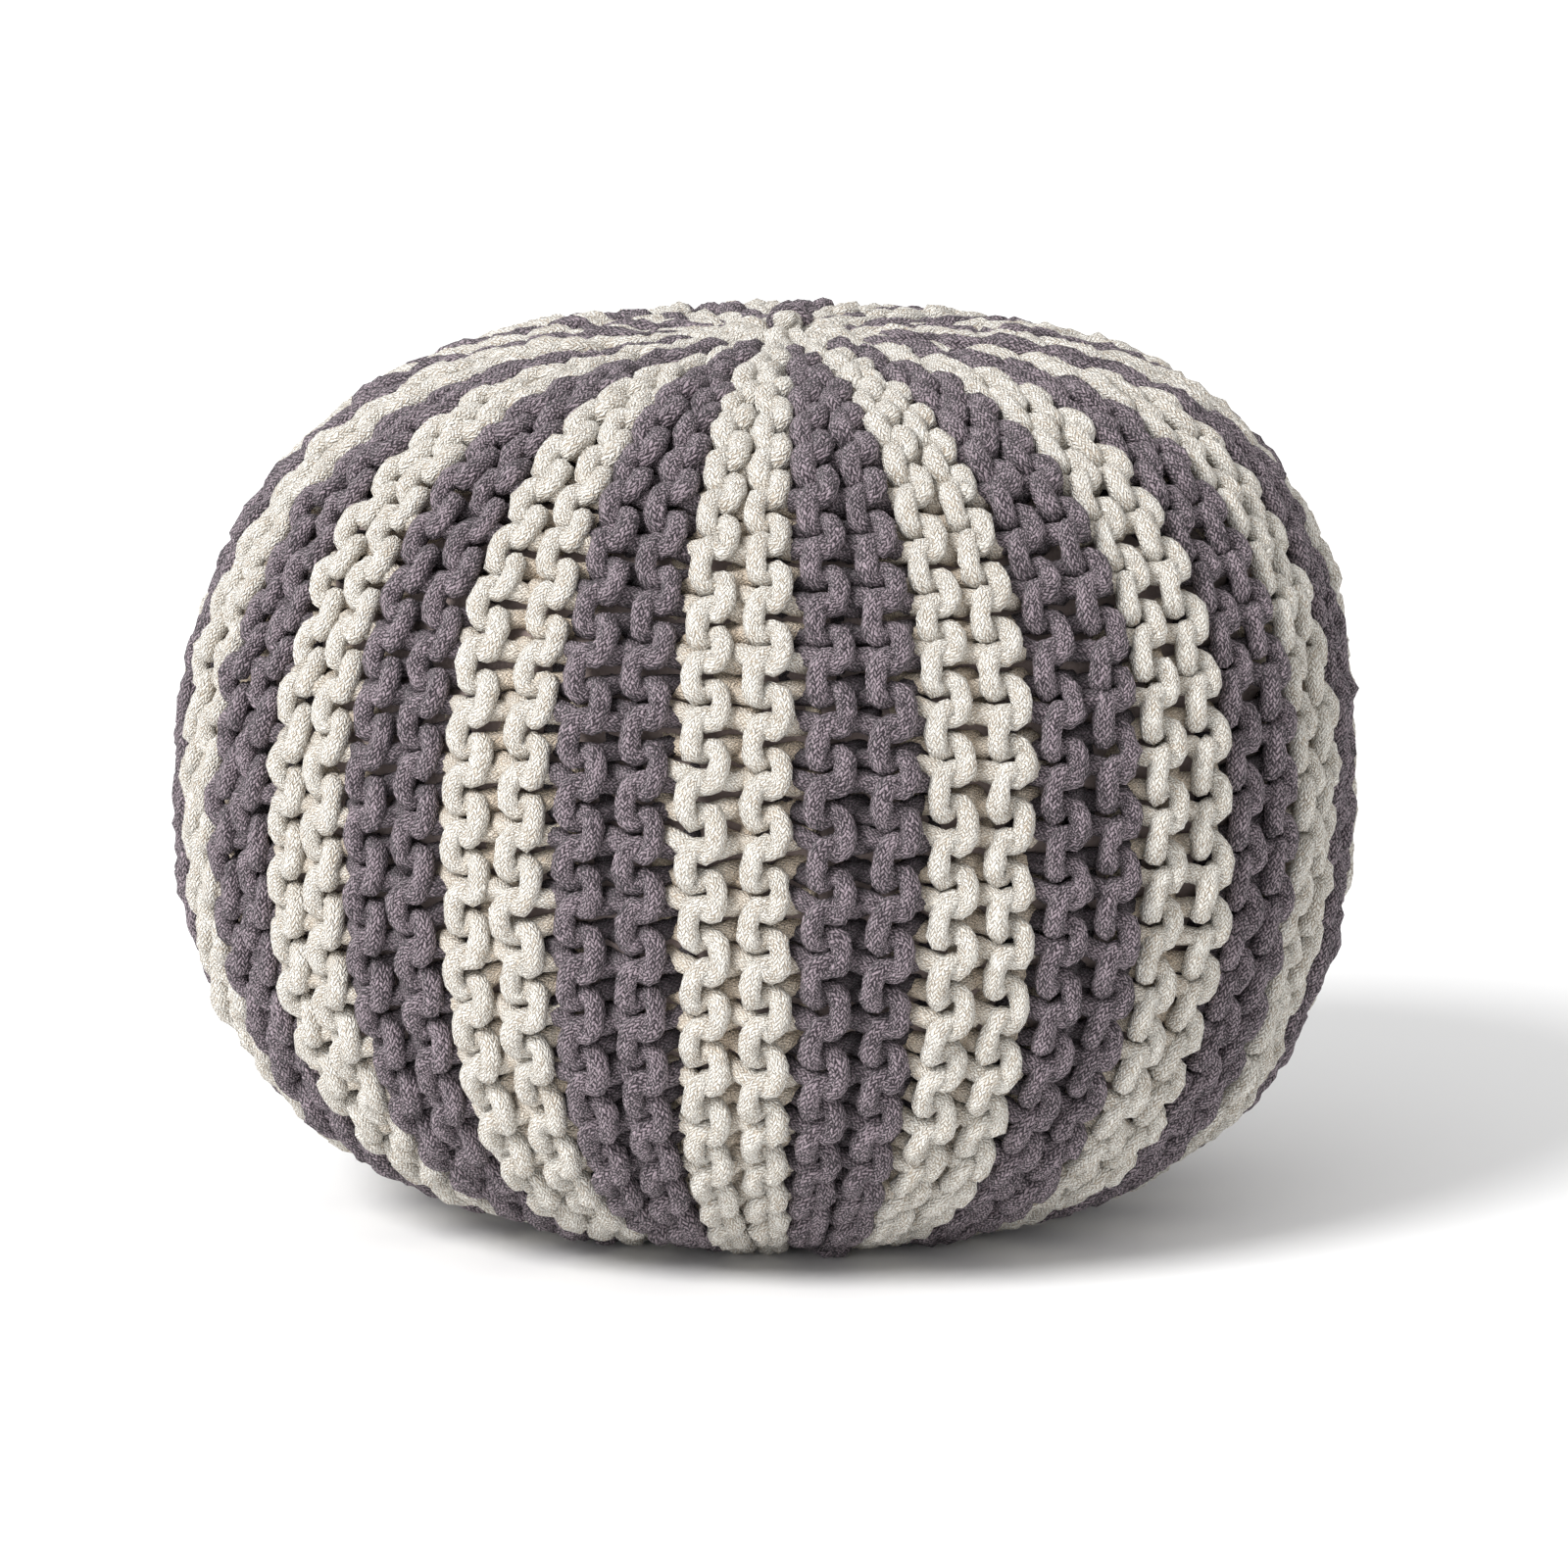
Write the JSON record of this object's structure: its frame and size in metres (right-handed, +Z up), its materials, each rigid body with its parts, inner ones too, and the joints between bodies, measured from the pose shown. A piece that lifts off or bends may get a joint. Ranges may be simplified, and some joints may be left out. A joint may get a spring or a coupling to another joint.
{
  "type": "round knitted floor pouf",
  "caption": "Round filled floor pouf knitted sideways in thick cotton cord, with raised garter ridges in cream and charcoal stripes, a gathered crown with a small knot, and a flat resting spot.",
  "frame": {"origin": "on the floor, under the centre of the pouf's widest girth", "axes": "+Z up through the crown, -Y towards the front, +X to the right"},
  "size_m": [0.5, 0.5, 0.3821],
  "materials": {
    "cream_cord": "soft matte braided cotton",
    "charcoal_cord": "soft matte braided cotton"
  },
  "bodies": {
    "root": {"knit_cover": "cream_cord", "crown_knot": "cream_cord"}
  },
  "joints": []
}
